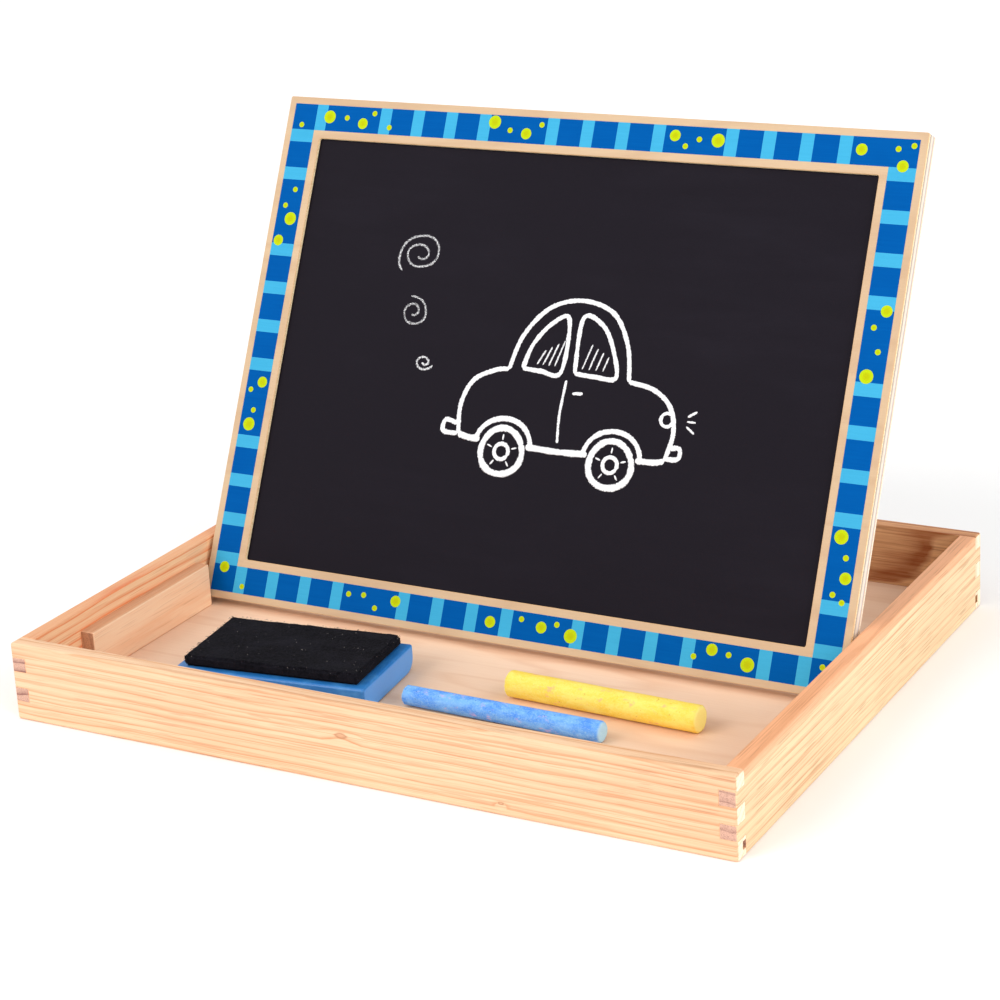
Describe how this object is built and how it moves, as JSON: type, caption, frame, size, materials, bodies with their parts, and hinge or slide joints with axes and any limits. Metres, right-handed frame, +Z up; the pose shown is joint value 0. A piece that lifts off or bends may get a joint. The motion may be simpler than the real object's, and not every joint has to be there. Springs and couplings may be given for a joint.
{
  "type": "tabletop drawing-box easel",
  "caption": "Shallow finger-jointed wooden tray whose double-sided drawing board stands leaning back in a slot between side cleats, with a felt eraser and chalk lying in the tray.",
  "frame": {"origin": "middle of the tray's footprint, on the plane that its underside rests on", "axes": "+X to the user's right along the tray's long side, +Y from the front to the back, +Z up"},
  "size_m": [0.3, 0.24, 0.2006],
  "materials": {
    "pine_front": "sanded pine, clear satin",
    "pine_side": "sanded pine, clear satin",
    "pine_cleat": "sanded pine, unfinished",
    "birch_ply": "thin birch plywood, sanded",
    "printed_frame": "plywood with a printed blue striped border, satin",
    "chalkboard_paint": "hardboard with matte chalkboard paint",
    "whiteboard_lacquer": "hardboard with glossy white lacquer",
    "blue_paint": "wood block with satin blue paint",
    "black_felt": "pressed wool felt",
    "blue_chalk": "powdery moulded chalk",
    "yellow_chalk": "powdery moulded chalk"
  },
  "bodies": {
    "tray": {"front_wall": "pine_front", "back_wall": "pine_front", "left_wall": "pine_side", "right_wall": "pine_side", "floor_panel": "birch_ply", "left_front_cleat": "pine_cleat", "right_front_cleat": "pine_cleat", "left_rear_cleat": "pine_cleat", "right_rear_cleat": "pine_cleat"},
    "board": {"front_frame": "printed_frame", "chalkboard_sheet": "chalkboard_paint", "core_panel": "birch_ply", "whiteboard_sheet": "whiteboard_lacquer", "back_frame": "printed_frame"},
    "eraser": {"eraser_block": "blue_paint", "eraser_felt": "black_felt"},
    "blue_chalk_stick": {"blue_chalk": "blue_chalk"},
    "yellow_chalk_stick": {"yellow_chalk": "yellow_chalk"}
  },
  "joints": [
    {"name": "board_lift_out", "type": "slide", "parent": "tray", "child": "board", "axis": [0, 0.4423, 0.8969], "range_m": [0, 0.045]},
    {"name": "eraser_lift_out", "type": "slide", "parent": "tray", "child": "eraser", "axis": [0, 0, 1], "range_m": [0, 0.04]},
    {"name": "blue_chalk_lift_out", "type": "slide", "parent": "tray", "child": "blue_chalk_stick", "axis": [0, 0, 1], "range_m": [0, 0.04]},
    {"name": "yellow_chalk_lift_out", "type": "slide", "parent": "tray", "child": "yellow_chalk_stick", "axis": [0, 0, 1], "range_m": [0, 0.04]}
  ]
}
